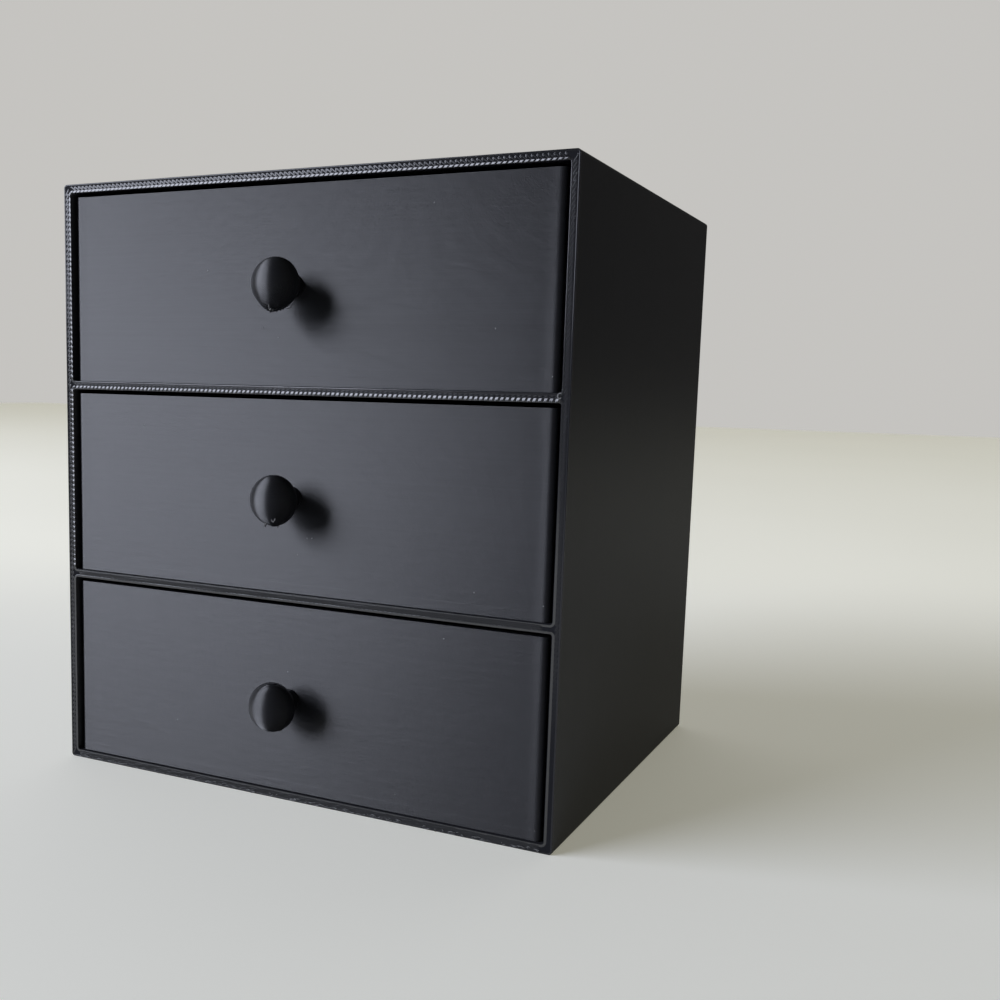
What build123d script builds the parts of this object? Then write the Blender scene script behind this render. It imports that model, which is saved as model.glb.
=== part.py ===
"""A desk box with three drawers that slide straight out of one open-fronted housing.

All lengths are in millimetres. The origin is the middle of the housing's footprint, on the
surface that the box stands on. +Z is up and the drawers open towards -Y.
"""
import os

from build123d import *

# Housing: one shell with a closed back and a shelf under each upper drawer.
housing_width = 128.0
housing_depth = 108.0
side_wall = 2.0
top_wall = 2.0
base_wall = 2.0
shelf_thickness = 2.0
back_wall = 2.0
outer_corner_radius = 0.8

# Compartments: one above the other and all alike, open to the front.
compartment_height = 44.0
compartment_corner_radius = 0.6

# Room left round a closed drawer.
side_clearance = 1.0
top_clearance = 1.0
front_recess = 0.8

# Drawers: open trays, each with its knob in one piece with the front.
drawer_names = ("bottom_drawer", "middle_drawer", "top_drawer")
drawer_front_wall = 2.0
drawer_side_wall = 2.0
drawer_rear_wall = 2.0
drawer_floor = 2.0
drawer_corner_radius = 1.0

# Knob: a flattened ball on a short round neck.
knob_radius = 5.45
knob_front_bulge = 4.7
knob_rear_bulge = 3.8
knob_standoff = 7.1
knob_neck_radius = 2.5

# Sizes that follow from the ones above.
drawer_count = len(drawer_names)
level_pitch = compartment_height + shelf_thickness
housing_height = base_wall + drawer_count * level_pitch - shelf_thickness + top_wall
compartment_width = housing_width - 2 * side_wall
compartment_depth = housing_depth - back_wall
housing_front_y = -housing_depth / 2
drawer_width = compartment_width - 2 * side_clearance
drawer_height = compartment_height - top_clearance
drawer_depth = compartment_depth - front_recess
drawer_front_y = housing_front_y + front_recess


def front_plane(y, z):
    """A plane that faces the user at depth y, with its middle at height z."""
    return Plane(origin=(0, y, z), x_dir=(1, 0, 0), z_dir=(0, -1, 0))


def tray_sketch_plane(front_gap, rear_gap, z):
    """A level plane at height z, centred between the drawer's front and rear faces less the two gaps."""
    front = drawer_front_y + front_gap
    rear = drawer_front_y + drawer_depth - rear_gap
    return Plane(origin=(0, (front + rear) / 2, z))


def build_drawer(name, underside_z):
    """One drawer standing on its shelf at the given height."""
    knob_z = underside_z + drawer_height / 2
    inside_width = drawer_width - 2 * drawer_side_wall
    inside_depth = drawer_depth - drawer_front_wall - drawer_rear_wall
    with BuildPart() as drawer:
        with BuildSketch(tray_sketch_plane(0, 0, underside_z)):
            RectangleRounded(drawer_width, drawer_depth, drawer_corner_radius)
        extrude(amount=drawer_height)

        # The hollow goes down to the floor and is open above.
        inside_plane = tray_sketch_plane(drawer_front_wall, drawer_rear_wall, underside_z + drawer_floor)
        with BuildSketch(inside_plane):
            Rectangle(inside_width, inside_depth)
        extrude(amount=drawer_height - drawer_floor, mode=Mode.SUBTRACT)

        # Half of the knob's outline, turned about the knob's axis. The sketch's x runs out of the
        # drawer's front and its y runs up. The neck starts half way into the front wall.
        knob_plane = Plane(origin=(0, drawer_front_y, knob_z), x_dir=(0, -1, 0), z_dir=(1, 0, 0))
        neck_root = drawer_front_wall / 2
        with BuildSketch(knob_plane):
            with BuildLine():
                widest = (knob_standoff, 0)
                EllipticalCenterArc(widest, knob_front_bulge, knob_radius, start_angle=0, arc_size=90)
                EllipticalCenterArc(widest, knob_rear_bulge, knob_radius, start_angle=90, arc_size=90)
                Line((knob_standoff - knob_rear_bulge, 0), (knob_standoff + knob_front_bulge, 0))
            make_face()
            with Locations((-neck_root, 0)):
                Rectangle(neck_root + knob_standoff, knob_neck_radius, align=(Align.MIN, Align.MIN))
        revolve(axis=Axis((0, drawer_front_y, knob_z), (0, -1, 0)))
    drawer.part.label = name
    export_step(drawer.part, f"parts/{name}.step")


os.makedirs("parts", exist_ok=True)

with BuildPart() as housing:
    with BuildSketch(front_plane(housing_front_y, housing_height / 2)):
        RectangleRounded(housing_width, housing_height, outer_corner_radius)
    extrude(amount=-housing_depth)

    # The compartments are cut from the front and stop at the back wall.
    stack_height = drawer_count * level_pitch - shelf_thickness
    with BuildSketch(front_plane(housing_front_y, base_wall + stack_height / 2)):
        with GridLocations(compartment_width, level_pitch, 1, drawer_count):
            RectangleRounded(compartment_width, compartment_height, compartment_corner_radius)
    extrude(amount=-compartment_depth, mode=Mode.SUBTRACT)
housing.part.label = "housing"
export_step(housing.part, "parts/housing.step")

for level, drawer_name in enumerate(drawer_names):
    build_drawer(drawer_name, base_wall + level * level_pitch)
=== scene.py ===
"""Looks of a small printed drawer box: a one-piece housing, its front rim, and three drawers with knobs.

The file is laid out as a Blender add-on and run as a script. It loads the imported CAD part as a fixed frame,
builds each printed piece over its CAD node as a numpy surface, and sets up a pale photo stage. Lengths are in
metres.
"""

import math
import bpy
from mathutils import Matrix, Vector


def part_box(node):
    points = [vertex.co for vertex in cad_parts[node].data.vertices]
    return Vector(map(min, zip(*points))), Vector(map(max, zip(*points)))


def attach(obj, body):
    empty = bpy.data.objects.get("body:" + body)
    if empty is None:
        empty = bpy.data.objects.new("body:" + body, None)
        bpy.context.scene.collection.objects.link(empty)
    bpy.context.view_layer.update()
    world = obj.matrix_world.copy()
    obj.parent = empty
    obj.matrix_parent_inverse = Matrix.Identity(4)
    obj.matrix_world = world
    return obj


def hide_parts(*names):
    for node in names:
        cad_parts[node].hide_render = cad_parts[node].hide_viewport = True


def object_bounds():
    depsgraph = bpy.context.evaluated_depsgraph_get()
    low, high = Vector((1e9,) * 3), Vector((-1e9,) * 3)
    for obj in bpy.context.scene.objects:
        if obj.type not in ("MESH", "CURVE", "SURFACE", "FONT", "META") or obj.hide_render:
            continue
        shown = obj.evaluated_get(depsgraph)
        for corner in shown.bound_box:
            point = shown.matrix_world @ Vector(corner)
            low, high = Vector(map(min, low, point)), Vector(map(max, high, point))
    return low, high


bl_info = {
    "name": "Printed Drawer Box",
    "version": (1, 0, 0),
    "blender": (4, 5, 0),
    "location": "3D View > Sidebar > Drawer Box",
    "description": "Builds a printed three-drawer box with its layer lines, front rim and photo stage",
    "category": "Add Mesh",
}

import bpy
import numpy as np
from bpy.props import FloatProperty, FloatVectorProperty, IntProperty, PointerProperty
from mathutils import Matrix, Vector
from mathutils.geometry import tessellate_polygon

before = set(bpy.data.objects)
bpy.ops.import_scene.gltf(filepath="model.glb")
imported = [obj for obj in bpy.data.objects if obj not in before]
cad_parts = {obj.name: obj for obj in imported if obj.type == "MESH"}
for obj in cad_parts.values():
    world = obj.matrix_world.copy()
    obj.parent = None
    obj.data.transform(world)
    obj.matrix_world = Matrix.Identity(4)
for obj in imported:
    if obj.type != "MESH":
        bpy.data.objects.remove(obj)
CAD_LOW, CAD_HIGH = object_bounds()
HOUSING_LOW, HOUSING_HIGH = (np.array(corner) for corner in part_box("housing"))
DRAWERS = ("bottom_drawer", "middle_drawer", "top_drawer")
MM = 0.001


# Settings that a user would change

def length(name, description, millimetres):
    """A length, given in millimetres and kept in metres."""
    return FloatProperty(
        name=name, description=description, default=millimetres * MM, unit="LENGTH", precision=5)


def share(name, description, default):
    """A number from 0 to 1."""
    return FloatProperty(
        name=name, description=description, default=default, min=0.0, max=1.0, subtype="FACTOR")


def degrees(name, description, default):
    """An angle, given in degrees and kept in radians."""
    return FloatProperty(
        name=name, description=description, default=math.radians(default), subtype="ANGLE")


def vector(name, description, default, **kind):
    """Several numbers in one setting."""
    return FloatVectorProperty(
        name=name, description=description, default=default, size=len(default), **kind)


def colour(name, description, default):
    """A linear RGB colour."""
    return vector(name, description, default, subtype="COLOR")


class BoxSizes(bpy.types.PropertyGroup):
    """Walls, corners and recess of the housing and the drawers."""

    wall: length("Wall", "Thickness of the housing's walls, shelves and back", 2.0)
    outer_radius: length("Outer radius", "Radius of the housing's four long outer edges", 0.8)
    opening_radius: length("Opening radius", "Radius in the corners of each compartment", 0.6)
    front_recess: length("Front recess", "How far a closed drawer's face stands behind the rim", 0.8)
    drawer_wall: length("Drawer wall", "Thickness of a drawer's walls and floor", 2.0)
    drawer_radius: length("Drawer radius", "Radius of a drawer's upright outer edges", 1.0)
    tray_radius: length("Tray radius", "Radius of a drawer's upright inner corners", 0.5)


class KnobSizes(bpy.types.PropertyGroup):
    """The knob: a ball that is flatter at the back than at the front, on a round neck."""

    radius: length("Radius", "Radius of the knob seen from the front", 5.45)
    front_bulge: length("Front bulge", "From the widest ring to the front tip", 4.7)
    rear_bulge: length("Rear bulge", "From the widest ring to the rear of the ball", 3.8)
    standoff: length("Standoff", "From the drawer's face to the widest ring", 7.1)
    neck_radius: length("Neck radius", "Radius of the neck between ball and face", 2.5)
    sag: vector(
        "Sag", "How far the underside of each knob sagged in printing, lowest drawer first",
        (0.06 * MM, 0.28 * MM, 0.55 * MM), unit="LENGTH", precision=5)


class PrintSizes(bpy.types.PropertyGroup):
    """The traces that printing leaves: layers, beads and the zig-zag fill of the rim."""

    layer: length("Layer", "Height of one printed layer", 0.2)
    groove: length("Groove", "Depth of the groove between two layers of the housing", 0.07)
    drawer_groove: length("Drawer groove", "Depth of the groove between two layers of a drawer", 0.046)
    wobble: length("Wobble", "How much one layer may stand behind the next", 0.001)
    bead: length("Bead", "Width of one extruded bead", 0.42)
    bead_relief: length("Bead relief", "Depth of the valley between two beads on a top surface", 0.03)
    hull_step: length("Hull step", "Step in a drawer's walls where its floor ends", 0.012)
    corner_swell: length("Corner swell", "How far a drawer's corners swell out", 0.05)
    rim_room: length("Rim room", "Room in front of the housing's walls for the beads of the rim", 0.15)
    outer_lift: length("Outer lift", "Height of the bead along the rim's outer edge", 0.07)
    inner_lift: length("Inner lift", "Height of the beads round the compartments", 0.045)
    inner_width: length("Inner width", "Width of those beads", 0.58)
    inner_skew: length("Inner skew", "How much higher those beads stand at the compartment's side", 0.065)
    inner_ripple: length("Inner ripple", "How far those beads rise and fall along the rim", 0.02)
    fill_lift: length("Fill lift", "Height of the beads that fill the rim", 0.08)
    stroke_gap: length("Stroke gap", "Distance along the rim from one stroke of its fill to the next", 0.574)
    seed: IntProperty(name="Seed", description="Start of the random numbers", default=7)


class FilamentLook(bpy.types.PropertyGroup):
    """Colour and gloss of the charcoal plastic."""

    dark: colour("Dark", "Plastic where it is darkest", (0.012, 0.0125, 0.0145))
    light: colour("Light", "Plastic where it is palest", (0.018, 0.0185, 0.0215))
    # This colour is real dust on the specks and whiskers, and a painted glint on the threads under the knobs
    # and the flecks on the faces
    dust_and_glint: colour("Dust", "Dust and scuffed plastic", (0.27, 0.27, 0.27))
    roughness: share("Roughness", "Middle of the plastic's roughness", 0.30)
    rim_roughness: share("Rim roughness", "Roughness of the beads that the nozzle pressed flat", 0.16)
    gap_roughness: share("Gap roughness", "Roughness of the ground between the rim's beads", 0.6)


class StageLook(bpy.types.PropertyGroup):
    """Floor, lamp, surroundings and camera."""

    floor: colour("Floor", "Pale table top", (0.87, 0.885, 0.875))
    # Far floor: the table's colour far in front of the box, dark as painted shade where the light falls off
    far_floor_painted_shade: colour("Far floor", "Table top far in front of the box", (0.16, 0.155, 0.145))
    glow: colour("Glow", "What the table adds to its own shade, so that it shows pale", (0.38, 0.37, 0.295))
    room: colour("Room", "Dim light of the room in front and at the right", (0.060, 0.058, 0.055))
    wall: colour("Wall", "Pale wall behind", (0.56, 0.55, 0.53))
    wall_direction: vector(
        "Wall direction", "Where the wall is palest", (-0.42, 0.90, 0.10), subtype="DIRECTION")
    window_colour: colour("Window colour", "Tint of the soft light at the left", (0.82, 0.86, 1.0))
    window_power: FloatProperty(
        name="Window power", description="Power of the soft light", default=66.0, unit="POWER")
    window_azimuth: degrees("Window azimuth", "Angle of the soft light to the left of the front", 49.6)
    window_height: degrees("Window height", "Angle of the soft light above the table", 20.8)
    window_distance: length("Window distance", "From the box to the soft light", 2400)
    window_width: length("Window width", "Width of the soft light", 2040)
    window_rise: length("Window rise", "Height of the soft light", 1468)
    camera_place: vector(
        "Camera place", "Where the camera stands", (0.13807, -0.27301, 0.09476), subtype="TRANSLATION")
    camera_yaw: degrees("Camera yaw", "Turn of the camera to the left of straight ahead", 26.670)
    camera_pitch: degrees("Camera pitch", "Tilt of the camera below level", 7.604)
    camera_roll: degrees("Camera roll", "Turn of the camera about its own line of sight", 1.345)
    camera_lens: FloatProperty(name="Lens", description="Focal length in millimetres", default=42.138)
    camera_shift: vector("Shift", "Sideways and upward shift of the frame", (0.098, 0.0415))


class DrawerBoxSettings(bpy.types.PropertyGroup):
    """All settings of the drawer box."""

    box: PointerProperty(type=BoxSizes)
    knob: PointerProperty(type=KnobSizes)
    print: PointerProperty(type=PrintSizes)
    filament: PointerProperty(type=FilamentLook)
    stage: PointerProperty(type=StageLook)


# Surfaces

WELD_DISTANCE = 1e-7


class Skin:
    """Gathers grids of points into one mesh. Points at the same place in the same shell become one, quads
    that fold up become triangles or go, and the edges along crease rows stay sharp under smooth shading."""

    def __init__(self):
        self.points = []
        self.shells = []
        self.faces = []
        self.creases = []
        self.count = 0

    def add_points(self, points, shell):
        """Takes points of any grid shape and gives back their numbers in that shape."""
        flat = points.reshape(-1, 3)
        self.points.append(flat)
        self.shells.append(np.full(len(flat), shell))
        index = self.count + np.arange(len(flat)).reshape(points.shape[:-1])
        self.count += len(flat)
        return index

    def grid(self, points, creases=None, closed=False, shell=0):
        """Rows by columns of points joined by quads. A face looks along columns cross rows. Closed joins the
        last column to the first, and creases marks the rows that stay sharp."""
        index = self.add_points(points, shell)
        ring = np.concatenate([index, index[:, :1]], axis=1) if closed else index
        corners = (ring[:-1, :-1], ring[:-1, 1:], ring[1:, 1:], ring[1:, :-1])
        self.faces.append(np.stack(corners, axis=-1).reshape(-1, 4))
        if creases is not None:
            sharp = ring[creases]
            self.creases.append(np.stack([sharp[:, :-1], sharp[:, 1:]], axis=-1).reshape(-1, 2))
        return index

    def cap(self, ring, turned=False):
        """One flat face over a ring of point numbers."""
        self.faces.append((ring[::-1] if turned else ring)[None, :])

    def holed_plate(self, loops, turned=False):
        """A flat plate at one depth, facing -Y or turned, between an outer ring of points and its holes'
        rings."""
        index = np.concatenate([self.add_points(loop, 0) for loop in loops])
        corners = np.array(tessellate_polygon([[Vector(p) for p in loop] for loop in loops]))
        spot = np.concatenate(loops)[corners]
        facing = np.cross(spot[:, 1] - spot[:, 0], spot[:, 2] - spot[:, 0])[:, 1]
        wrong = (facing > 0) != turned
        corners[wrong] = corners[wrong][:, ::-1]
        self.faces.append(index[corners])

    def mesh(self, name):
        """The finished Blender mesh."""
        points = np.concatenate(self.points)
        place = np.round(points / WELD_DISTANCE).astype(np.int64)
        key = np.column_stack([place, np.concatenate(self.shells)])
        _, first, number = np.unique(key, axis=0, return_index=True, return_inverse=True)
        number = number.ravel()
        loops, sizes = [], []
        for faces in self.faces:
            corners = number[faces]
            kept = corners != np.roll(corners, -1, axis=1)
            whole = kept.sum(axis=1) >= 3
            loops.append(corners[whole][kept[whole]])
            sizes.append(kept[whole].sum(axis=1))
        loops, sizes = np.concatenate(loops), np.concatenate(sizes)
        mesh = bpy.data.meshes.new(name)
        mesh.vertices.add(len(first))
        mesh.vertices.foreach_set("co", points[first].astype(np.float32).ravel())
        mesh.loops.add(len(loops))
        mesh.loops.foreach_set("vertex_index", loops.astype(np.int32))
        mesh.polygons.add(len(sizes))
        mesh.polygons.foreach_set("loop_start", (np.cumsum(sizes) - sizes).astype(np.int32))
        mesh.polygons.foreach_set("use_smooth", np.ones(len(sizes), bool))
        mesh.update(calc_edges=True)
        self.mark_creases(mesh, number)
        mesh.validate()
        return mesh

    def mark_creases(self, mesh, number):
        """Writes the sharp_edge attribute for the edges that lie along a crease."""
        if not self.creases:
            return
        ends = np.empty(len(mesh.edges) * 2, np.int32)
        mesh.edges.foreach_get("vertices", ends)
        wanted = number[np.concatenate(self.creases)]
        count = len(mesh.vertices)
        edge_keys, wanted_keys = (
            pairs.min(axis=1).astype(np.int64) * count + pairs.max(axis=1)
            for pairs in (ends.reshape(-1, 2), wanted))
        sharp = mesh.attributes.new("sharp_edge", "BOOLEAN", "EDGE")
        sharp.data.foreach_set("value", np.isin(edge_keys, wanted_keys))


# Rows of one layer: share of its height, share of the groove's depth, and 1 where the row stays sharp
ROUND_LAYER = ((0.0, 1.0, 1), (0.5, 0.0, 0))
SLUMPED_LAYER = ((0.0, 1.0, 1), (0.18, 0.0, 1), (0.59, 0.2, 0))
SLUMPED_INSIDE = ((0.0, 1.0, 1), (0.82, 0.0, 1))
SWELL_LADDER = np.array([0.3, 0.6, 0.9, 1.3, 1.8, 2.5])
ROWS_PER_BEAD = 4
PLATE_RELIEFS = 4


def upright(flat, depth):
    """Points of a front view, (x, z) pairs, at depth y."""
    return np.stack([flat[..., 0], np.broadcast_to(depth, flat.shape[:-1]), flat[..., 1]], axis=-1)


def level(flat, height):
    """Points of a plan view, (x, y) pairs, at height z."""
    return np.stack([flat[..., 0], flat[..., 1], np.broadcast_to(height, flat.shape[:-1])], axis=-1)


def rounded_loop(half_width, half_height, radius, steps):
    """A rounded rectangle, counter-clockwise, and the outward direction at each point: every corner is a
    quarter circle of steps + 1 points about its own centre, and straight sides join one corner to the
    next."""
    angle = np.linspace(0, math.pi / 2, steps + 1) + math.pi / 2 * np.arange(4)[:, None]
    outward = np.stack([np.cos(angle), np.sin(angle)], axis=-1)
    side = np.array([(1, 1), (-1, 1), (-1, -1), (1, -1)])[:, None, :]
    points = side * np.array([half_width - radius, half_height - radius]) + radius * outward
    return points.reshape(-1, 2), outward.reshape(-1, 2)


def swollen_loop(half_width, half_height, radius, steps, swell, reach):
    """A rounded rectangle whose corners swell out: every corner moves out by the swell, and the sides
    follow it over a short reach as a bell curve. Gives points and outward directions."""
    points, outward = rounded_loop(half_width, half_height, radius, steps)
    corner, turn = points.reshape(4, -1, 2), outward.reshape(4, -1, 2)
    ladder = reach * SWELL_LADDER
    spots, directions = [], []
    for number in range(4):
        start, end = corner[number, -1], corner[(number + 1) % 4, 0]
        side = np.linalg.norm(end - start)
        place = np.concatenate([ladder, side - ladder[::-1]])
        near = np.minimum(place, side - place)[:, None]
        direction = np.broadcast_to(turn[number, -1], (len(place), 2))
        straight = start + place[:, None] / side * (end - start)
        straight = straight + direction * swell * np.exp(-(near / reach) ** 2)
        spots += [corner[number] + swell * turn[number], straight]
        directions += [turn[number], direction]
    return np.concatenate(spots), np.concatenate(directions)


def layer_rows(start, end, look, groove, profile, seed):
    """Rows of a printed wall from start to end: the profile of one layer is repeated for every layer, and
    each layer lies back by a small random share of the wobble. Gives the rows' places along the wall, how
    far each stands out, and which rows stay sharp."""
    count = round(abs(end - start) / look.layer)
    share_up, share_in, sharp = np.array(profile).T
    along = np.append((np.arange(count)[:, None] + share_up).ravel(), count)
    back = look.wobble * np.random.default_rng(seed).random((count, 1))
    out = np.append(-(groove * share_in + back * (1 - share_in)).ravel(), -groove)
    return start + along / count * (end - start), out, np.append(np.tile(sharp > 0, count), True)


def unit(vectors):
    """The directions of vectors, each of length 1."""
    return vectors / np.linalg.norm(vectors, axis=1, keepdims=True)


def carried_loop(points, outward, out):
    """A loop carried along rows, moved outward by each row's own amount."""
    return points[None] + outward[None] * out[:, None, None]


def bead_rows(first, last, count, relief, up):
    """Rows that lead from one ring of points to another over a number of round beads side by side: each
    bead is a parabola that is highest at its middle and lies a relief lower where it meets the next."""
    t = np.linspace(0, 1, ROWS_PER_BEAD * count + 1)
    q = 2 * (t * count % 1.0) - 1
    low = -relief * q ** 2
    rows = first[None] * (1 - t)[:, None, None] + last[None] * t[:, None, None]
    rows += low[:, None, None] * np.asarray(up)
    rows[0], rows[-1] = first, last
    return rows, np.arange(len(t)) % ROWS_PER_BEAD == 0


def raster_plate(skin, corner, side_a, side_b, up, look, shell):
    """A thin plate whose top is a solid fill of parallel strokes at 45 degrees: a band of rows runs across
    the rectangle's diagonal, each row is the stretch of a slanting line inside the rectangle, and rows
    between two strokes lie lower. The plate's four long edges make a closed tube."""
    corner, up = np.asarray(corner, float), np.asarray(up, float)
    size = np.array([np.linalg.norm(side_a), np.linalg.norm(side_b)])
    unit_a, unit_b = np.asarray(side_a) / size[0], np.asarray(side_b) / size[1]
    count = int(size.sum() / (look.bead * math.sqrt(2)))
    reach = np.linspace(0, size.sum(), 2 * count + 1)
    valleys = np.arange(2 * count + 1) % 2 == 0
    start_a = np.minimum(reach, size[0])
    end_b = np.minimum(reach, size[1])
    first = corner + start_a[:, None] * unit_a + (reach - start_a)[:, None] * unit_b
    last = corner + (reach - end_b)[:, None] * unit_a + end_b[:, None] * unit_b
    top = np.where(valleys, -look.bead_relief, 0.0)[:, None] * up
    base = -PLATE_RELIEFS * look.bead_relief * up
    grid = np.stack([first + top, last + top, last + base, first + base], axis=1)
    if np.dot(np.cross(unit_a, unit_b), up) > 0:
        grid = grid[::-1]
    skin.grid(grid, creases=valleys, closed=True, shell=shell)


def slow_noise(place, knot, rng):
    """Smooth random numbers from -1 to 1 along a line: random values a knot apart, joined by straight
    lines."""
    knots = np.arange(place.min() - knot, place.max() + 2 * knot, knot)
    return np.interp(place, knots, rng.uniform(-1, 1, len(knots)))


def ring_reach(points):
    """A ring with its first point repeated at the end, and the way along it to each of its points."""
    ring = np.concatenate([points, points[:1]])
    return ring, np.concatenate([[0], np.cumsum(np.linalg.norm(np.diff(ring, axis=0), axis=1))])


def ring_path(ring, reach, more):
    """A ring's own points and more of them at other places along it. Gives all places and points in order."""
    place = np.unique(np.concatenate([reach, more]))[:-1]
    return place, np.stack([np.interp(place, reach, ring[:, axis]) for axis in (0, 1)], axis=-1)


# The housing

OUTLINE_STEPS = 6
OPENING_STEPS = 3


class HousingPlan:
    """The housing seen from the front: its outline, its compartments and its shelves, all from the frame."""

    def __init__(self, box):
        self.wall = box.wall
        self.front, self.back = HOUSING_LOW[1], HOUSING_HIGH[1]
        self.width = HOUSING_HIGH[0] - HOUSING_LOW[0]
        self.height = HOUSING_HIGH[2] - HOUSING_LOW[2]
        self.pitch = (self.height - self.wall) / len(DRAWERS)
        self.half_opening = np.array([self.width / 2 - self.wall, (self.pitch - self.wall) / 2])
        self.middles = self.wall / 2 + self.pitch * (np.arange(len(DRAWERS)) + 0.5)
        self.outer_radius, self.opening_radius = box.outer_radius, box.opening_radius

    def outline(self):
        """The outer outline and its outward directions."""
        points, outward = rounded_loop(self.width / 2, self.height / 2, self.outer_radius, OUTLINE_STEPS)
        return points + (0, self.height / 2), outward

    def opening(self, middle):
        """A compartment's outline and its outward directions."""
        points, outward = rounded_loop(*self.half_opening, self.opening_radius, OPENING_STEPS)
        return points + (0, middle), outward


def housing_walls(skin, plan, look):
    """The housing without its front rim. The outer outline is carried from the back to the front over one
    groove and one crest per layer, a holed plate closes the front, and each compartment's outline is
    carried back to its rear wall in the same way. Solid-fill plates lie on the three rear walls."""
    front = plan.front + look.rim_room
    along, out, grooves = layer_rows(plan.back, front, look, look.groove, ROUND_LAYER, look.seed)
    points, outward = plan.outline()
    rows = upright(carried_loop(points, outward, out), along[:, None])
    outer = skin.grid(rows, creases=grooves, closed=True)
    skin.cap(outer[0], turned=True)
    loops = [rows[-1]]
    inner_back = plan.back - plan.wall
    width, height = 2 * plan.half_opening
    for number, middle in enumerate(plan.middles):
        along, out, grooves = layer_rows(
            front, inner_back, look, look.groove, ROUND_LAYER, look.seed + 1 + number)
        points, outward = plan.opening(middle)
        rows = upright(carried_loop(points, outward, -out), along[:, None])
        inner = skin.grid(rows, creases=grooves, closed=True)
        skin.cap(inner[-1])
        loops.append(rows[0])
        corner = (-width / 2, inner_back - look.bead_relief, middle - height / 2)
        raster_plate(skin, corner, (width, 0, 0), (0, 0, height), (0, -1, 0), look, number + 1)
    skin.holed_plate(loops)


# The front rim

BEAD_SIDES = 8
BEAD_SINK = 0.03 * MM
TAPER_ROWS = 3
ROUND_BEAD, FLAT_BEAD, PRESSED_BEAD = 2.2, 3.4, 5.0
SLAB_FRONT, SLAB_BACK, SLAB_INSET = 0.02 * MM, 0.03 * MM, 0.04 * MM
SLAB_CREASES = np.array([True, True])
STROKE_STEPS = 6
STROKE_SQUARENESS = 1.7
EDGE_STEP = 1.5 * MM
STRAIGHT_BEADS = 3
RIPPLE_STEPS = 8
LIP_RETREAT = 0.12 * MM
LIP_SAW = 0.4
WHISKERS = 160
WHISKER_FLOOR = 0.07 * MM
CURL_POINTS = 15
CURL_START, CURL_TURN = 0.6, 5.4
CURL_RADIUS, CURL_TIGHTENING = 0.55 * MM, 0.25 * MM
CURL_WIDTH, CURL_LIFT = 0.26 * MM, 0.16 * MM

# How the bead round each compartment differs, lowest compartment first
LIP_SKEW = (0.2, 0.30, 1.1)
LIP_RIPPLE = (0.2, 1.7, 1.0)
LIP_SLANT = (0.0, 0.4, 1.0)
LIP_WIDEN = (0.0, 0.5, 0.0)


class RimPlan(HousingPlan):
    """The middle lines of the rim's stretches between its edge beads, and the depth that the beads stand
    on."""

    def __init__(self, box, look):
        super().__init__(box)
        self.base = self.front + look.rim_room - SLAB_FRONT + BEAD_SINK
        self.room = self.wall - 2 * look.bead
        self.swing = (self.room - look.bead) / 2
        self.side_x = self.half_opening[0] + self.wall / 2
        self.end_x = self.side_x - self.wall / 2 - look.bead / 2
        self.end_z = self.wall / 2
        self.top = self.height - self.end_z
        self.shelves = self.middles[:-1] + self.pitch / 2


def swept_bead(skin, path, width, lift, base, shell, flatness, closed=False, skew=0.0, slant=0.0):
    """An extruded bead: half a flattened ellipse, as wide and high as width and lift say at each point,
    carried along a path in the front view and standing on depth base. The ends of an open bead shrink to a
    point. Skew lifts the bead's left side, and slant leans its cross-sections along the path by that share
    of their width."""
    ahead, behind = np.roll(path, -1, axis=0), np.roll(path, 1, axis=0)
    if not closed:
        ahead[-1], behind[0] = path[-1], path[0]
        rows_to_end = np.minimum(np.arange(len(path)), np.arange(len(path))[::-1])
        taper = np.sqrt(1 - (1 - np.clip(rows_to_end / TAPER_ROWS, 0, 1)) ** 2)
        width, lift = width * taper, lift * taper
    along = unit(ahead - behind)
    left = np.stack([-along[:, 1], along[:, 0]], axis=-1)
    angle = np.linspace(0, math.pi, BEAD_SIDES + 1)
    out = np.sign(np.cos(angle)) * np.abs(np.cos(angle)) ** (2 / flatness)
    rise = np.sin(angle).clip(0, 1) ** (2 / flatness)
    side = (width[:, None] / 2 * out)[..., None]
    skew, slant = (np.broadcast_to(value, len(path))[:, None] for value in (skew, slant))
    flat = path[:, None] + (left[:, None] + along[:, None] * slant[..., None]) * side
    rows = upright(flat, base - (lift[:, None] + skew * (1 + out) / 2) * rise)
    skin.grid(np.concatenate([rows, rows[:1]]) if closed else rows, closed=True, shell=shell)


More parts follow.
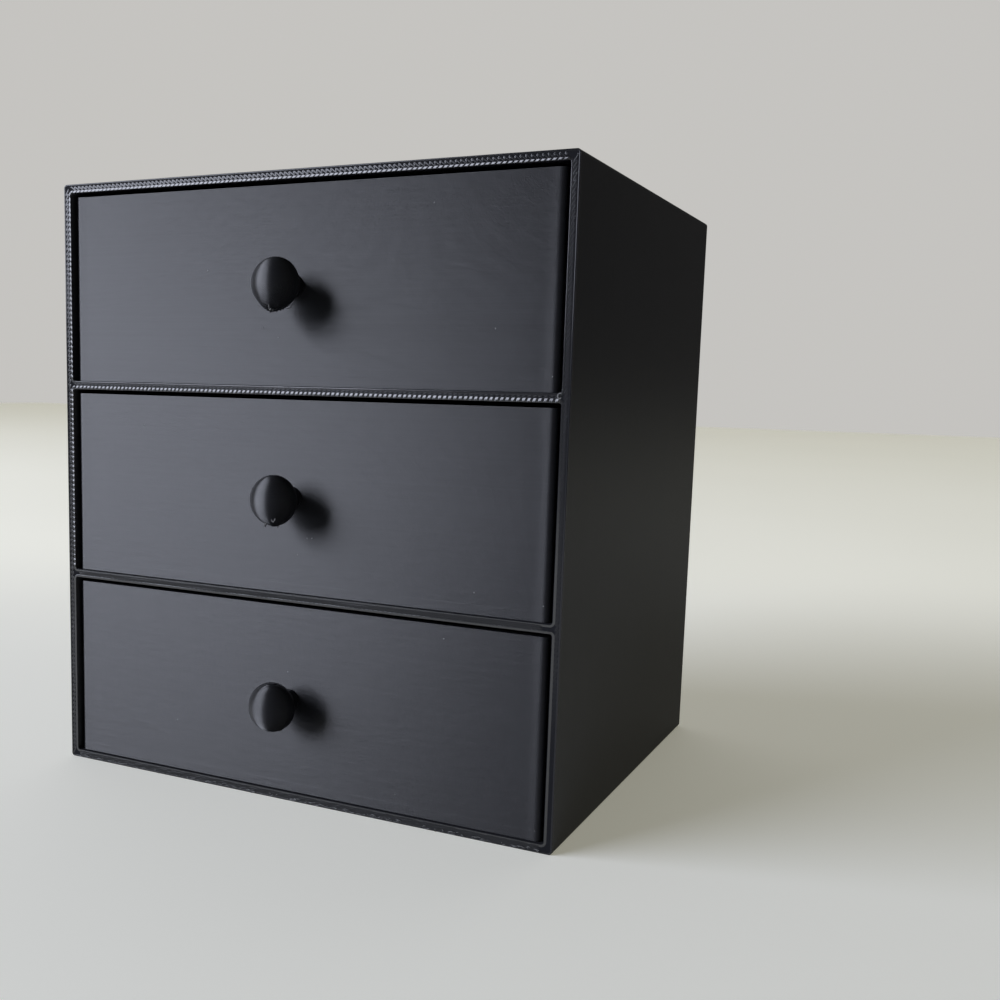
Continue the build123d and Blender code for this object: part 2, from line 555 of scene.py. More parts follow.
def lip_bead(skin, points, number, look, base, rng):
    """The bead round a compartment. Over the compartment and at its left the bead stands higher at the
    inner side, and rises and falls once for every two strokes of the fill that it holds: as a sine at the
    left, and over the compartment as a sine with a share of its double, which is a soft saw-tooth, stronger
    to the left. Below and at the right it is pressed low and even and lies a little further from the
    compartment. How strongly it ripples and leans, and how wide it is, differ by compartment."""
    ring, reach = ring_reach(points)
    waves = round(reach[-1] / (2 * look.stroke_gap))
    place, path = ring_path(ring, reach, np.linspace(0, reach[-1], RIPPLE_STEPS * waves + 1))
    ahead = unit(np.roll(path, -1, axis=0) - np.roll(path, 1, axis=0))
    raised = np.clip(-ahead.sum(axis=1), 0, 1)
    over = np.clip(-ahead[:, 0], 0, 1)
    extra = look.inner_width * LIP_WIDEN[number] * over
    outward = np.stack([ahead[:, 1], -ahead[:, 0]], axis=-1)
    path += outward * (extra / 2 + LIP_RETREAT * (1 - raised))[:, None]
    width = look.inner_width * (1.0 + 0.05 * slow_noise(place, 2 * MM, rng)) + extra
    phase = 2 * math.pi * waves * place / reach[-1] + 0.5 * slow_noise(place, 3 * MM, rng)
    wave = np.sin(phase) + LIP_SAW * over * np.sin(2 * phase)
    leftness = 1.1 - 0.2 * path[:, 0] / np.abs(path[:, 0]).max()
    strength = LIP_RIPPLE[number] * raised * leftness * (1 + 0.3 * slow_noise(place, 1.5 * MM, rng))
    lift = look.inner_lift * (0.12 + 0.88 * raised) + look.inner_ripple * wave * strength + BEAD_SINK
    skew = look.inner_skew * LIP_SKEW[number] * raised
    slant = LIP_SLANT[number] * raised
    swept_bead(skin, path, width, lift, base, number, PRESSED_BEAD, closed=True, skew=skew, slant=slant)


def zigzag_beads(skin, stretches, look, base, rng, shell):
    """The fill of some stretches of rim: in each, a bead swings from side to side of the line from start to
    end as a flattened sine, one stroke after another, and leans so that the strokes slant. Its height is a
    share of the fill's lift at both ends, and goes from one to the other with the cube of the way."""
    for number, (start, end, lean, swing, height) in enumerate(stretches):
        start, end = np.array(start), np.array(end)
        reach = np.linalg.norm(end - start)
        along = (end - start) / reach
        across = np.array([-along[1], along[0]])
        strokes = int(reach / look.stroke_gap)
        turn = np.linspace(0, math.pi * strokes, STROKE_STEPS * strokes + 1)
        place = turn / math.pi * look.stroke_gap
        side = swing * np.tanh(STROKE_SQUARENESS * np.sin(turn)) / math.tanh(STROKE_SQUARENESS)
        side = side * (1 + 0.10 * slow_noise(place, look.stroke_gap, rng))
        place = place + lean * side + 0.05 * look.stroke_gap * slow_noise(place, look.stroke_gap, rng)
        path = start + place[:, None] * along + side[:, None] * across
        width = look.bead * (0.95 + 0.08 * slow_noise(turn, 2.0, rng))
        height = height[0] + (height[1] - height[0]) * np.linspace(0, 1, len(turn)) ** 3
        lift = look.fill_lift * height * (1.0 + 0.08 * slow_noise(turn, 2.0, rng)) + BEAD_SINK
        swept_bead(skin, path, width, lift, base, shell + number, PRESSED_BEAD)


def straight_beads(skin, start, end, room, rough, look, base, rng, shell):
    """The fill of a smoother stretch of rim: low wide beads side by side along the line from start to end,
    whose paths and heights wander by the rough share."""
    along = (end - start) / np.linalg.norm(end - start)
    across = np.array([-along[1], along[0]])
    place = np.arange(0, np.linalg.norm(end - start), EDGE_STEP * (1.0 - 0.7 * rough))
    gap = room / STRAIGHT_BEADS
    for number, shift in enumerate((np.arange(STRAIGHT_BEADS) - (STRAIGHT_BEADS - 1) / 2) * gap):
        wander = (0.015 + 0.06 * rough) * MM * slow_noise(place, (3 - 2.2 * rough) * MM, rng)
        path = start + place[:, None] * along + (shift + wander)[:, None] * across
        width = gap * (1.45 + 0.06 * slow_noise(place, 5 * MM, rng))
        uneven = (0.03 + 0.4 * rough) * slow_noise(place, (6 - 5.4 * rough) * MM, rng)
        lift = look.fill_lift * (0.5 + uneven) + BEAD_SINK
        swept_bead(skin, path, width, lift, base, shell + number, FLAT_BEAD)


def rim_lips(skin, plan, look):
    """The glossy lips of the front rim, as the nozzle laid them: one bead round each compartment."""
    rng = np.random.default_rng(look.seed)
    inner = look.inner_width / 2
    for number, middle in enumerate(plan.middles):
        points, _ = rounded_loop(*(plan.half_opening + inner), plan.opening_radius + inner, OUTLINE_STEPS)
        lip_bead(skin, points + (0, middle), number, look, plan.base, rng)


def rim_fill(skin, plan, look):
    """What fills the rim's left wall and top between their edges: a slanting zig-zag."""
    left, top = -plan.side_x - 0.15 * look.bead, plan.top + 0.02 * look.bead
    stretches = (
        ((left, plan.end_z), (left, plan.top), -1.0, 0.9 * plan.swing, (0.7, 0.7)),
        ((-plan.end_x, top), (plan.end_x, top), -1.0, 0.85 * plan.swing, (0.5, 0.5)))
    zigzag_beads(skin, stretches, look, plan.base, np.random.default_rng(look.seed + 5), 0)


def rim_edges(skin, plan, look):
    """The duller beads of the rim: a low one of slightly uneven width once round the outer edge, a flat
    zig-zag in the upper shelf and the right wall, and straight beads in the lower shelf and the base."""
    rng = np.random.default_rng(look.seed + 6)
    half = look.bead / 2
    points, _ = rounded_loop(
        plan.width / 2 - half, plan.height / 2 - half, plan.outer_radius - half, OUTLINE_STEPS)
    ring, reach = ring_reach(points + (0, plan.height / 2))
    place, path = ring_path(ring, reach, np.arange(0, reach[-1], EDGE_STEP))
    width = look.bead * (1.0 + 0.05 * slow_noise(place, 4 * MM, rng))
    lift = np.full(len(place), look.outer_lift + BEAD_SINK)
    swept_bead(skin, path, width, lift, plan.base, 0, FLAT_BEAD, closed=True)
    right, shelf = plan.side_x + 0.2 * look.bead, plan.shelves[1] + 0.1 * look.bead
    stretches = (
        ((right, plan.end_z), (right, plan.top), -1.0, plan.swing, (0.0, 0.6)),
        ((-plan.end_x, shelf), (plan.end_x, shelf), 1.0, 0.6 * plan.swing, (0.25, 0.25)))
    zigzag_beads(skin, stretches, look, plan.base, rng, 1)
    for shell, height, rough in ((10, plan.shelves[0], 0.2), (20, plan.end_z, 1.0)):
        start, end = np.array((-plan.end_x, height)), np.array((plan.end_x, height))
        straight_beads(skin, start, end, plan.room, rough, look, plan.base, rng, shell)


def rim_whiskers(skin, plan, look):
    """Pale whiskers on the rim. Along the base, where the print was pulled off, they are short threads near
    its lower edge, each an arc of a parabola that leans at random and sticks out at one end. At the right
    end of the upper shelf, where the nozzle left it, there is a curl, which is a spiral that winds
    inwards."""
    rng = np.random.default_rng(look.seed + 9)
    t = np.linspace(-1, 1, 7)[:, None]
    reach = plan.half_opening[0]
    for number in range(WHISKERS):
        middle = rng.uniform((-reach, 0.15 * MM), (reach, 0.8 * MM))
        lean = rng.uniform(-0.6, 0.6) + (number % 3 == 0) * 1.2
        along = np.array([math.cos(lean), 0.4 * math.sin(lean)])
        bend = rng.uniform(-0.25, 0.25) * MM * (1 - t ** 2) * np.array([0.0, 1.0])
        flat = middle + t * along * rng.uniform(0.2, 0.9) * MM + bend
        flat[:, 1] = np.maximum(flat[:, 1], WHISKER_FLOOR)
        outwards = (1 + t[:, 0] * (number % 2 - 0.5) * 2) / 2
        depth = plan.front + 0.03 * MM - rng.uniform(0.0, 0.4) * MM * outwards
        thread(skin, upright(flat, depth), rng.uniform(0.03, 0.058) * MM, number)
    turn = np.linspace(0, 1, CURL_POINTS)
    angle = CURL_TURN * turn + CURL_START
    spiral = np.stack([np.cos(angle), 1.2 * np.sin(angle)], axis=-1)
    spiral = spiral * (CURL_RADIUS - CURL_TIGHTENING * turn[:, None])
    path = np.array((plan.end_x - 0.2 * look.bead, plan.shelves[1] + 0.7 * look.bead)) + spiral
    width, lift = np.full(CURL_POINTS, CURL_WIDTH), np.full(CURL_POINTS, CURL_LIFT)
    swept_bead(skin, path, width, lift, plan.base, WHISKERS, ROUND_BEAD)


def rim_ground(skin, plan, look):
    """The deep ground between the rim's beads: a thin slab with the housing's outline and its three openings,
    whose front and back stand a little before and behind the housing's front plate. It takes a rough plastic
    that reflects almost nothing, as painted shade of the deep gaps between the beads."""
    before, behind = (plan.front + look.rim_room + shift for shift in (-SLAB_FRONT, SLAB_BACK))
    points, outward = plan.outline()
    loops = [points - outward * SLAB_INSET]
    for middle in plan.middles:
        points, outward = plan.opening(middle)
        loops.append(points + outward * SLAB_INSET)
    front, back = ([upright(loop, depth) for loop in loops] for depth in (before, behind))
    skin.holed_plate(front)
    skin.holed_plate(back, turned=True)
    skin.grid(np.stack([back[0], front[0]]), SLAB_CREASES, True)
    for hole_front, hole_back in zip(front[1:], back[1:]):
        skin.grid(np.stack([hole_front, hole_back]), SLAB_CREASES, True)


# The drawers

TRAY_STEPS = 6
SWELL_REACH = 1.4 * MM
KNOB_COLUMNS = 26
NECK_COLUMNS = 3
NECK_SINK = 0.6 * MM
SAG_START, SAG_SPAN = 0.55, 0.45
SAG_WAVES = (1, 2, 3, 5, 8)
THREAD_SIDES = 6
THREAD_SIDEWAYS = (0.3, 0.9, 0.3)
FLECK_POINTS = 9
FLECK_LIFT = 0.12 * MM
TRAY_SHELL, KNOB_SHELL, THREAD_SHELL, FLECK_SHELL = 1, 2, 60, 80

# Threads under each knob, and flecks on each face as millimetres from its middle and its underside
THREADS = (2, 4, 6)
FLECKS = (
    ((27.4, 4.1), (59.9, 2.2), (38.0, 40.1), (-31.5, 12.0)),
    ((4.2, 12.7), (5.4, 12.8), (1.7, 8.8), (59.8, 3.4), (44.6, 4.6), (-41.0, 36.0)),
    ((-7.9, 12.6), (-3.9, 10.5), (33.2, 37.5), (59.8, 3.1), (47.4, 12.4), (-22.8, 25.3)))


class DrawerPlan:
    """Where one drawer is: its number from below, its lowest and highest corners, its face and its knob."""

    def __init__(self, name, settings):
        self.number = DRAWERS.index(name)
        self.low, self.high = (np.array(corner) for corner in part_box(name))
        self.face = HOUSING_LOW[1] + settings.box.front_recess
        self.knob = np.array([0.0, self.face - settings.knob.standoff, (self.low[2] + self.high[2]) / 2])


def tray_rows(skin, plan, box, look, seed):
    """A drawer without its knob: its plan outline is carried up the outside over the layers, across the
    beads on top of the walls, and down the inside to the floor."""
    low, high, face = plan.low, plan.high, plan.face
    middle = (0, (face + high[1]) / 2)
    half = np.array([(high[0] - low[0]) / 2, (high[1] - face) / 2])
    room = half - box.drawer_wall
    floor = low[2] + box.drawer_wall
    along, out, grooves = layer_rows(low[2], high[2], look, look.drawer_groove, SLUMPED_LAYER, seed)
    out = out - look.hull_step * np.clip((along - low[2] - box.drawer_wall) / look.layer, 0, 1)
    points, outward = swollen_loop(*half, box.drawer_radius, TRAY_STEPS, look.corner_swell, SWELL_REACH)
    outside = level(carried_loop(points + middle, outward, out), along[:, None])
    along, out, inner_grooves = layer_rows(
        high[2], floor, look, look.drawer_groove, SLUMPED_INSIDE, seed + 50)
    points, outward = swollen_loop(*room, box.tray_radius, TRAY_STEPS, 0.0, SWELL_REACH)
    inside = level(carried_loop(points + middle, outward, -out), along[:, None])
    beads = round(box.drawer_wall / look.bead)
    top, valleys = bead_rows(outside[-1], inside[0], beads, look.bead_relief, (0, 0, 1))
    rows = np.concatenate([outside, top[1:-1], inside])
    creases = np.concatenate([grooves, valleys[1:-1], inner_grooves])
    ring = skin.grid(rows, creases=creases, closed=True)
    skin.cap(ring[0], turned=True)
    skin.cap(ring[-1])
    corner = (-room[0], middle[1] - room[1], floor + look.bead_relief)
    raster_plate(skin, corner, (2 * room[0], 0, 0), (0, 2 * room[1], 0), (0, 0, 1), look, TRAY_SHELL)


def knob_outline(knob, height, inset):
    """Plan outlines of the knob at heights from its centre, all drawn in by an inset: an ellipse from the
    left of the neck round the front tip to the right of the neck, with a deeper half in front than behind,
    and then the straight sides of the neck. Above and below the neck both ends meet at the ellipse's
    rear."""
    radius = knob.radius - inset
    round_share = np.sqrt(np.clip(1 - (height / radius) ** 2, 1e-6, 1))[:, None]
    neck = np.sqrt(np.clip((knob.neck_radius - inset) ** 2 - height ** 2, 0, None))[:, None]
    neck_angle = math.pi - np.arcsin(np.clip(neck / (radius * round_share), 0, 1))
    angle = neck_angle * np.linspace(0, 1, KNOB_COLUMNS + 1)
    bulge = np.where(angle < math.pi / 2, knob.front_bulge - inset, knob.rear_bulge - inset)
    x = radius * round_share * np.sin(angle)
    y = -bulge * round_share * np.cos(angle)
    step = np.linspace(0, 1, NECK_COLUMNS + 1)[1:]
    root = np.where(neck > 0, knob.standoff + NECK_SINK, y[:, -1:])
    x = np.concatenate([x, np.repeat(x[:, -1:], NECK_COLUMNS, axis=1)], axis=1)
    y = np.concatenate([y, y[:, -1:] * (1 - step) + root * step], axis=1)
    both_x = np.concatenate([-x[:, :0:-1], x], axis=1)
    both_y = np.concatenate([y[:, :0:-1], y], axis=1)
    return np.stack([both_x, both_y], axis=-1)


def knob_rows(skin, centre, knob, look, sag, seed):
    """A printed knob: a stack of level slabs, one per layer, each with the knob's plan outline at its
    middle and a groove above and below. The lowest slabs hang lower by the sag, more on the left, and
    unevenly round the ball."""
    count = int(2 * knob.radius / look.layer)
    middle = (np.arange(count) - (count - 1) / 2) * look.layer
    full = knob_outline(knob, middle, 0.0)
    drawn_in = knob_outline(knob, middle, look.drawer_groove)
    flat = np.stack([drawn_in, full, drawn_in], axis=1)
    height = middle[:, None] + (np.array([0.0, SLUMPED_LAYER[1][0], 1.0]) - 0.5) * look.layer
    flat = flat.reshape(-1, *flat.shape[2:])
    height = np.broadcast_to(height.reshape(-1, 1), flat.shape[:2])
    rng = np.random.default_rng(seed)
    lowness = np.clip((-height - SAG_START * knob.radius) / (SAG_SPAN * knob.radius), 0, 1) ** 2
    turn = np.arctan2(flat[..., 1], flat[..., 0])
    wave = sum(rng.uniform(0.2, 0.6) * np.sin(k * turn + rng.uniform(0, 6)) for k in SAG_WAVES)
    lean = 0.6 - 0.5 * flat[..., 0] / knob.radius
    height = height - sag * lowness * np.clip(lean + 0.5 * wave, 0, 2)
    rough = np.repeat(rng.uniform(-1, 1, (count, flat.shape[1])), 3, axis=0)
    flat = flat * (1 + (sag / knob.radius) * lowness * (wave + 0.25 * rough))[..., None]
    rows = level(flat + centre[:2], height + centre[2])
    ring = skin.grid(rows, creases=np.ones(len(rows), bool), closed=True, shell=KNOB_SHELL)
    skin.cap(ring[0], turned=True)
    skin.cap(ring[-1])


def thread(skin, path, radius, shell):
    """A loose thread: a circle carried along a path in space, which shrinks to a point at both ends."""
    along = unit(np.gradient(path, axis=0))
    side = unit(np.cross(along, THREAD_SIDEWAYS))
    over = np.cross(along, side)
    angle = np.arange(THREAD_SIDES) / THREAD_SIDES * 2 * math.pi
    size = radius * np.sqrt(np.clip(1 - np.linspace(-1, 1, len(path)) ** 4, 0, 1))
    ring = side[:, None] * np.cos(angle)[:, None] + over[:, None] * np.sin(angle)[:, None]
    skin.grid(path[:, None] + size[:, None, None] * ring, closed=True, shell=shell)


def knob_threads(skin, centre, radius, count, seed):
    """Threads under a knob, where a first layer was laid on air: each is a short sagging arc between two
    points of the underside, a parabola in height."""
    rng = np.random.default_rng(seed)
    t = np.linspace(0, 1, 9)[:, None]
    for number in range(count):
        start = rng.uniform((-0.25, -0.7), (0.5, 0.3)) * radius
        end = start + rng.uniform((-0.25, -0.1), (0.25, 0.3)) * radius
        flat = start * (1 - t) + end * t
        out = (flat ** 2).sum(axis=1, keepdims=True) / radius ** 2
        under = -np.sqrt(np.clip(1 - out, 0, 1)) * radius
        hang = rng.uniform(0.3, 0.9) * MM * 4 * t * (1 - t)
        path = np.concatenate([flat, under - hang - 0.05 * MM], axis=1) + centre
        thread(skin, path, rng.uniform(0.07, 0.13) * MM, THREAD_SHELL + number)


def fleck(skin, place, depth, rng, shell):
    """A fleck of plastic on a drawer's face: a very short bead that leans at random."""
    lean = rng.uniform(0, math.pi)
    reach = rng.uniform(0.25, 0.45) * MM
    along = np.array([math.cos(lean), math.sin(lean)])
    path = np.array(place) + np.linspace(-reach, reach, FLECK_POINTS)[:, None] / 2 * along
    width = np.full(FLECK_POINTS, rng.uniform(0.22, 0.32) * MM)
    swept_bead(skin, path, width, np.full(FLECK_POINTS, FLECK_LIFT), depth, shell, ROUND_BEAD)


def drawer_print(skin, plan, settings):
    """One drawer, tray and knob together, in the place of its CAD node."""
    look, knob = settings.print, settings.knob
    tray_rows(skin, plan, settings.box, look, look.seed + 10 * plan.number)
    knob_rows(skin, plan.knob, knob, look, knob.sag[plan.number], look.seed + 20 * plan.number)


def drawer_flaws(skin, plan, settings):
    """The loose threads under one drawer's knob and the flecks on its face, which are drawn pale as painted
    glints.
    """
    look, number = settings.print, plan.number
    knob_threads(skin, plan.knob, settings.knob.radius, THREADS[number], look.seed + 30 * number)
    rng = np.random.default_rng(look.seed + 40 * number)
    for spot, (x, rise) in enumerate(FLECKS[number]):
        place = (x * MM, plan.low[2] + rise * MM)
        fleck(skin, place, plan.face + look.drawer_groove, rng, FLECK_SHELL + spot)


# Materials

# The gap ground's very low index makes it reflect almost nothing: painted shade in the gaps between the rim's
# beads
PLASTIC_IOR, LIP_IOR, STROKE_IOR, EDGE_IOR, GAP_PAINTED_SHADE_IOR = 1.42, 1.75, 1.5, 1.38, 1.1
ALONG_DEPTH, UPWARDS, NO_LAYERS = (0, 1, 0), (0, 0, 1), (0, 0, 0)
STREAK_LENGTHS = 12.0
CLOUD_SCALE, GRAIN_SCALE, PALE_SCALE = 45.0, 3500.0, 2500.0
RIDGE_LENGTHS, RIDGE_ROWS, RIDGE_SHARE = 200.0, 800.0, 30.0
BUMP_STRENGTH, BUMP_DEPTH = 0.25, 0.004 * MM
SPECK_CELLS, SPECK_SIZE, SPECK_EDGE, SPECK_RARITY = 110.0, 0.014, 0.012, 0.82
TABLE_IOR, TABLE_ROUGHNESS, TABLE_SHADE = 1.2, 0.7, 0.94
SEEN_BY = ("Is Camera Ray", "Is Glossy Ray", "Is Transmission Ray")


class Wire:
    """An output socket in a node tree. Sums, differences and products of wires and numbers add Math nodes,
    and node() adds any other node. A wire without a socket stands for the tree alone."""

    def __init__(self, tree, socket=None):
        self.tree = tree
        self.socket = socket

    def node(self, kind, settings=None, sockets=None, output=0):
        """Adds a node: first its settings, then its sockets' values or links. Gives an output as a wire."""
        node = self.tree.nodes.new(kind)
        for name, value in (settings or {}).items():
            setattr(node, name, value)
        for name, value in (sockets or {}).items():
            if isinstance(value, Wire):
                self.tree.links.new(value.socket, node.inputs[name])
            else:
                node.inputs[name].default_value = value
        return Wire(self.tree, node.outputs[output] if node.outputs else None)

    def math(self, operation, first, second):
        """A Math node."""
        return self.node("ShaderNodeMath", {"operation": operation}, {0: first, 1: second})

    def __add__(self, other):
        return self.math("ADD", self, other)

    def __radd__(self, other):
        return self.math("ADD", other, self)

    def __sub__(self, other):
        return self.math("SUBTRACT", self, other)

    def __rsub__(self, other):
        return self.math("SUBTRACT", other, self)

    def __mul__(self, other):
        return self.math("MULTIPLY", self, other)

    def __rmul__(self, other):
        return self.math("MULTIPLY", other, self)

    def over(self, limit, soft):
        """0 below the limit and 1 above it, with a soft step of that width."""
        return self.node(
            "ShaderNodeMapRange", {"interpolation_type": "SMOOTHSTEP"},
            {"Value": self, "From Min": limit - soft / 2, "From Max": limit + soft / 2})

    def mixed(self, first, second):
        """A colour mixed from two by this wire as the factor."""
        return self.node("ShaderNodeMix", {"data_type": "RGBA"}, {0: self, 6: first, 7: second}, output=2)

    def noise(self, scale, detail):
        """Noise at the place that this wire gives."""
        return self.node("ShaderNodeTexNoise", None, {"Vector": self, "Scale": scale, "Detail": detail})

    def stretched(self, slow, fast, across):
        """The place that this wire gives, scaled by slow on every axis, and by fast too where across says
        so."""
        scale = tuple(slow + part * fast for part in across)
        return self.node("ShaderNodeMapping", {"vector_type": "POINT"}, {"Vector": self, "Scale": scale})


def rgba(values):
    """A colour property as the four numbers of a colour socket."""
    return (*values, 1.0)


def new_material(name):
    """A material with an empty node tree, a wire for the tree and one for the place in Object coordinates."""
    material = bpy.data.materials.new(name)
    material.use_nodes = True
    material.node_tree.nodes.clear()
    tree = Wire(material.node_tree)
    return material, tree, tree.node("ShaderNodeTexCoord", output=3)


def set_surface(tree, sockets):
    """Ends a material's tree with a Principled shader that has these sockets."""
    shader = tree.node("ShaderNodeBsdfPrincipled", None, sockets)
    tree.node("ShaderNodeOutputMaterial", None, {"Surface": shader})


def filament_material(name, settings, gloss, density, across=NO_LAYERS):
    """Charcoal plastic as it comes from a nozzle: streaks that run along the layers, slow changes of tone and
    gloss, shallow drawn-out ridges where layers differ, a fine grain, and a few specks of dust. Across is the
    share of the layer frequency on each axis."""
    material, tree, place = new_material(name)
    look = settings.filament
    streak = place.stretched(STREAK_LENGTHS, 1 / settings.print.layer, across).noise(1.0, 2.0)
    cloud = place.noise(CLOUD_SCALE, 3.0)
    grain = place.noise(GRAIN_SCALE, 2.0)
    ridge = place.stretched(RIDGE_LENGTHS, RIDGE_ROWS, across).noise(1.0, 1.0)
    cell = {"Vector": place, "Scale": SPECK_CELLS}
    spread = tree.node("ShaderNodeTexVoronoi", None, cell)
    cell_colour = tree.node("ShaderNodeTexVoronoi", None, cell, output=1)
    chance = tree.node("ShaderNodeSeparateColor", None, {0: cell_colour})
    speck = (1.0 - spread.over(SPECK_SIZE, SPECK_EDGE)) * chance.over(SPECK_RARITY, 0.02)
    tone = (streak * 0.6 + cloud * 0.4).over(0.5, 0.5)
    base = speck.mixed(tone.mixed(rgba(look.dark), rgba(look.light)), rgba(look.dust_and_glint))
    roughness = gloss - 0.01 + cloud * 0.02 + speck * 0.3
    relief = {"Strength": BUMP_STRENGTH, "Distance": BUMP_DEPTH, "Height": grain + RIDGE_SHARE * ridge}
    bump = tree.node("ShaderNodeBump", None, relief)
    set_surface(tree, {"Base Color": base, "Roughness": roughness, "Normal": bump, "IOR": density})
    return material


def pale_and_glint_material(look):
    """Pale plastic, unevenly: on the rim's whiskers it is plastic stretched or scuffed until it turned pale,
    and on the threads under the knobs and the flecks on the faces its pale colour is a painted glint.
    """
    material, tree, place = new_material("pale_plastic_and_painted_glint")
    cloud = place.noise(PALE_SCALE, 2.0)
    base = cloud.over(0.4, 0.4).mixed(rgba(look.light), rgba(look.dust_and_glint))
    set_surface(tree, {"Base Color": base, "Roughness": 0.35 + cloud * 0.2, "IOR": PLASTIC_IOR})
    return material


def table_material(look):
    """A pale matt table top with a slow change of tone, which shows pale to the camera and in reflections.
    Behind the box it is paler, a painted pool of light, and well in front of it it darkens, painted shade
    where the light falls off."""
    material, tree, place = new_material("pale_table")
    cloud = place.noise(3.0, 2.0)
    shade = tuple(TABLE_SHADE * value for value in look.floor)
    sideways, depth = (tree.node("ShaderNodeSeparateXYZ", None, {0: place}, output=axis) for axis in (0, 1))
    # Painted shade: the table's colour and glow fade out far in front of the box
    near = depth.over(-0.62, 0.36)
    # Painted light: the table's glow grows behind the box and towards the left, where the window lit it
    behind = (depth - 0.35 * sideways).over(0.20, 0.35)
    base = near.mixed(rgba(look.far_floor_painted_shade), cloud.over(0.5, 0.6).mixed(rgba(shade), rgba(look.floor)))
    rays = [tree.node("ShaderNodeLightPath", output=name) for name in SEEN_BY]
    seen = rays[0] + rays[1] + rays[2]
    # The glow that keeps the table pale, with painted shade far in front and painted light behind the box
    pale_glow_and_painted_light = (seen * near * (0.60 + 0.36 * behind)).mixed((0.0, 0.0, 0.0, 1.0), rgba(look.glow))
    set_surface(tree, {
        "Base Color": base, "Roughness": TABLE_ROUGHNESS, "IOR": TABLE_IOR,
        "Emission Color": pale_glow_and_painted_light, "Emission Strength": 1.0})
    return material


# The stage

FLOOR_REACH = 3.0
FLOOR_POINTS = 9
WALL_EDGE, WALL_FADE = 0.55, 0.8
SENSOR_WIDTH = 36.0
NEAR_CLIP = 0.01


def add_object(name, mesh, material):
    """Puts a mesh into the scene as an object at the origin."""
    piece = bpy.data.objects.new(name, mesh)
    mesh.materials.append(material)
    bpy.context.scene.collection.objects.link(piece)
    return piece


def add_table(look):
    """A level table top under the box."""
    skin = Skin()
    reach = np.linspace(-FLOOR_REACH, FLOOR_REACH, FLOOR_POINTS)
    x, y = np.meshgrid(reach, reach)
    skin.grid(np.stack([x, y, np.zeros_like(x)], axis=-1))
    add_object("table_top", skin.mesh("table_top"), table_material(look))


def add_window(scene, look):
    """The soft light at the left: a wide flat lamp that faces the middle of the box."""
    lamp = bpy.data.lights.new("window", "AREA")
    lamp.shape = "RECTANGLE"
    lamp.size = look.window_width
    lamp.size_y = look.window_rise
    lamp.energy = look.window_power
    lamp.color = look.window_colour
    turn, rise = look.window_azimuth, look.window_height
    towards = Vector((-math.sin(turn) * math.cos(rise), -math.cos(turn) * math.cos(rise), math.sin(rise)))
    window = bpy.data.objects.new("window", lamp)
    window.location = (CAD_LOW + CAD_HIGH) / 2 + towards * look.window_distance
    window.rotation_euler = (-towards).to_track_quat("-Z", "Y").to_euler()
    window.visible_camera = False
    scene.collection.objects.link(window)


def add_world(scene, look):
    """A dim room with a pale wall behind the box, which fades out to both sides."""
    world = bpy.data.worlds.new("room")
    world.use_nodes = True
    world.node_tree.nodes.clear()
    tree = Wire(world.node_tree)
    facing = tree.node(
        "ShaderNodeVectorMath", {"operation": "DOT_PRODUCT"},
        {0: tree.node("ShaderNodeTexCoord"), 1: Vector(look.wall_direction).normalized()}, output="Value")
    sky = facing.over(WALL_EDGE, WALL_FADE).mixed(rgba(look.room), rgba(look.wall))
    shader = tree.node("ShaderNodeBackground", None, {"Color": sky, "Strength": 1.0})
    tree.node("ShaderNodeOutputWorld", None, {"Surface": shader})
    scene.world = world


def add_camera(scene, look):
    """The camera at the photograph's place, turned by yaw, pitch and roll."""
    yaw, pitch, roll = look.camera_yaw, look.camera_pitch, look.camera_roll
    flat = math.cos(pitch)
    forward = Vector((-math.sin(yaw) * flat, math.cos(yaw) * flat, -math.sin(pitch)))
    right = Vector((math.cos(yaw), math.sin(yaw), 0.0))
    up = right.cross(forward)
    tilted_right = right * math.cos(roll) + up * math.sin(roll)
    tilted_up = up * math.cos(roll) - right * math.sin(roll)
    lens = bpy.data.cameras.new("camera")
    lens.lens = look.camera_lens
    lens.sensor_width = SENSOR_WIDTH
    lens.shift_x, lens.shift_y = look.camera_shift
    lens.clip_start = NEAR_CLIP
    camera = bpy.data.objects.new("camera", lens)
    turn = Matrix((tilted_right, tilted_up, -forward)).transposed()
    camera.matrix_world = Matrix.Translation(look.camera_place) @ turn.to_4x4()
    scene.collection.objects.link(camera)
    scene.camera = camera


# Operators

def add_piece(name, body, node, material, build, *facts):
    """Builds a piece and adds it. It rides on a body, and stands for a CAD node where one is given."""
    skin = Skin()
    build(skin, *facts)
    piece = add_object(name, skin.mesh(name), material)
    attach(piece, body)
    if node:
        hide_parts(node)


class DRAWERBOX_OT_housing(bpy.types.Operator):
    """Build the housing's walls, shelves and back with their layer lines"""

    bl_idname = "drawerbox.housing"
    bl_label = "Build Housing"

    def execute(self, context):
        settings = context.scene.drawer_box
        gloss = settings.filament.roughness
        material = filament_material("housing_layers", settings, gloss, PLASTIC_IOR, ALONG_DEPTH)
        plan = HousingPlan(settings.box)
        add_piece("housing_shell", "housing", "housing", material, housing_walls, plan, settings.print)
        return {"FINISHED"}


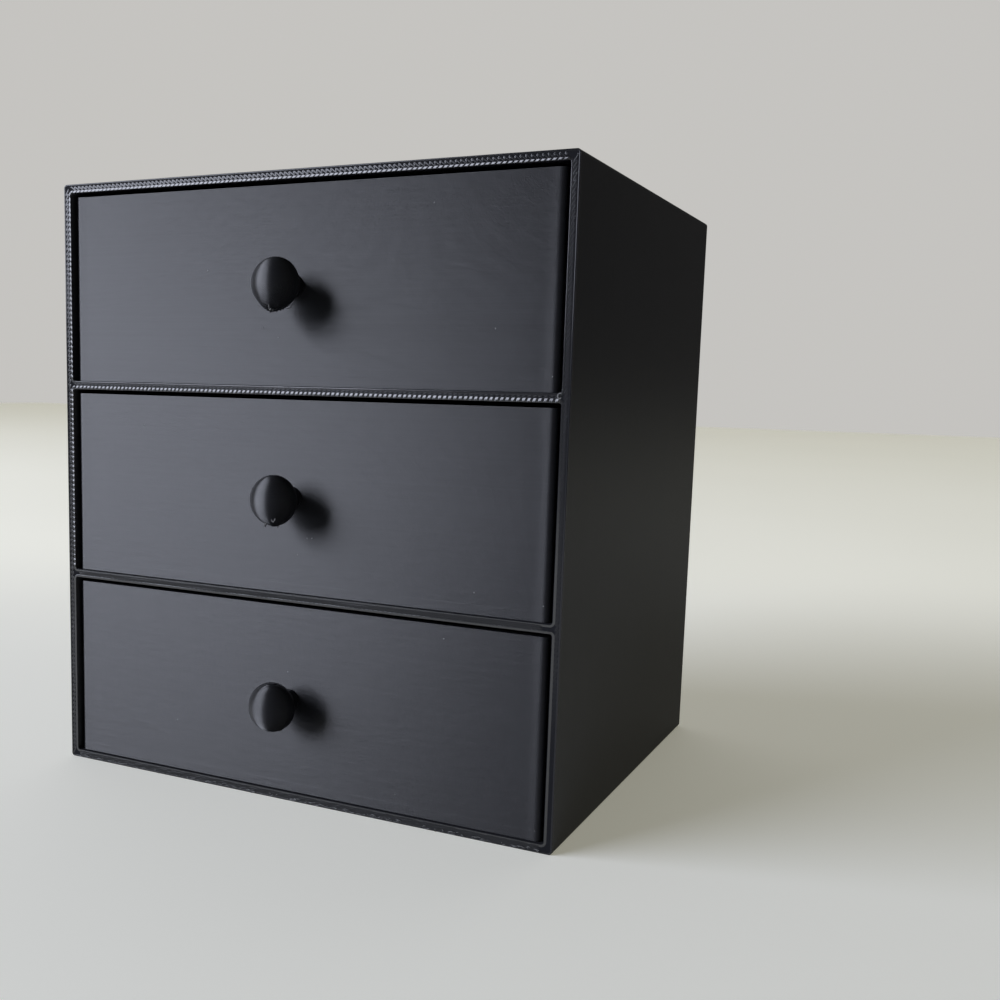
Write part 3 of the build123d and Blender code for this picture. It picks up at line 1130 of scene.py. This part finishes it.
class DRAWERBOX_OT_rim(bpy.types.Operator):
    """Build the housing's front rim: its lips, its fill, its dull beads, its whiskers and the ground below"""

    bl_idname = "drawerbox.rim"
    bl_label = "Build Front Rim"

    def execute(self, context):
        settings = context.scene.drawer_box
        look = settings.filament
        gloss = look.rim_roughness
        pieces = (
            ("front_rim", rim_lips, filament_material("rim_beads", settings, gloss, LIP_IOR)),
            ("rim_fill", rim_fill, filament_material("rim_strokes", settings, gloss, STROKE_IOR)),
            ("rim_edge", rim_edges, filament_material("rim_edges", settings, gloss, EDGE_IOR)),
            ("rim_whiskers", rim_whiskers, pale_and_glint_material(look)),
            # The ground between the beads is dark as painted shade
            ("rim_ground", rim_ground, filament_material("rim_gaps_painted_shade", settings, look.gap_roughness, GAP_PAINTED_SHADE_IOR)))
        plan = RimPlan(settings.box, settings.print)
        for name, build, material in pieces:
            add_piece(name, "housing", None, material, build, plan, settings.print)
        return {"FINISHED"}


class DRAWERBOX_OT_drawers(bpy.types.Operator):
    """Build the three drawers, each a tray with its knob"""

    bl_idname = "drawerbox.drawers"
    bl_label = "Build Drawers"

    def execute(self, context):
        settings = context.scene.drawer_box
        look = settings.filament
        material = filament_material("drawer_layers", settings, look.roughness, PLASTIC_IOR, UPWARDS)
        # Pale material for the threads and flecks: a painted glint
        pale = pale_and_glint_material(look)
        for name in DRAWERS:
            plan = DrawerPlan(name, settings)
            add_piece(name + "_print", name, name, material, drawer_print, plan, settings)
            # The threads and flecks are pale as painted glints
            add_piece(name + "_threads", name, None, pale, drawer_flaws, plan, settings)
        return {"FINISHED"}


class DRAWERBOX_OT_stage(bpy.types.Operator):
    """Set up the table, the lamp, the world and the camera"""

    bl_idname = "drawerbox.stage"
    bl_label = "Set Up Stage"

    def execute(self, context):
        scene = context.scene
        look = scene.drawer_box.stage
        scene.view_settings.view_transform = "Standard"
        add_table(look)
        add_window(scene, look)
        add_world(scene, look)
        add_camera(scene, look)
        return {"FINISHED"}


class DRAWERBOX_PT_panel(bpy.types.Panel):
    """Lists the steps that build the drawer box, and its settings"""

    bl_idname = "DRAWERBOX_PT_panel"
    bl_label = "Drawer Box"
    bl_space_type = "VIEW_3D"
    bl_region_type = "UI"
    bl_category = "Drawer Box"

    def draw(self, context):
        settings = context.scene.drawer_box
        for step in STEPS:
            self.layout.operator(step.bl_idname)
        for group in (settings.box, settings.knob, settings.print, settings.filament, settings.stage):
            column = self.layout.column(align=True)
            for name in group.__annotations__:
                column.prop(group, name)


GROUPS = (BoxSizes, KnobSizes, PrintSizes, FilamentLook, StageLook, DrawerBoxSettings)
STEPS = (DRAWERBOX_OT_housing, DRAWERBOX_OT_rim, DRAWERBOX_OT_drawers, DRAWERBOX_OT_stage)
CLASSES = (*GROUPS, *STEPS, DRAWERBOX_PT_panel)


def register():
    """Registers the classes and hangs the settings on the scene."""
    for item in CLASSES:
        bpy.utils.register_class(item)
    bpy.types.Scene.drawer_box = PointerProperty(type=DrawerBoxSettings)


def unregister():
    """Takes the settings off the scene and unregisters the classes."""
    del bpy.types.Scene.drawer_box
    for item in reversed(CLASSES):
        bpy.utils.unregister_class(item)


def main():
    register()
    bpy.ops.drawerbox.housing()
    bpy.ops.drawerbox.rim()
    bpy.ops.drawerbox.drawers()
    bpy.ops.drawerbox.stage()


if __name__ == "__main__":
    main()
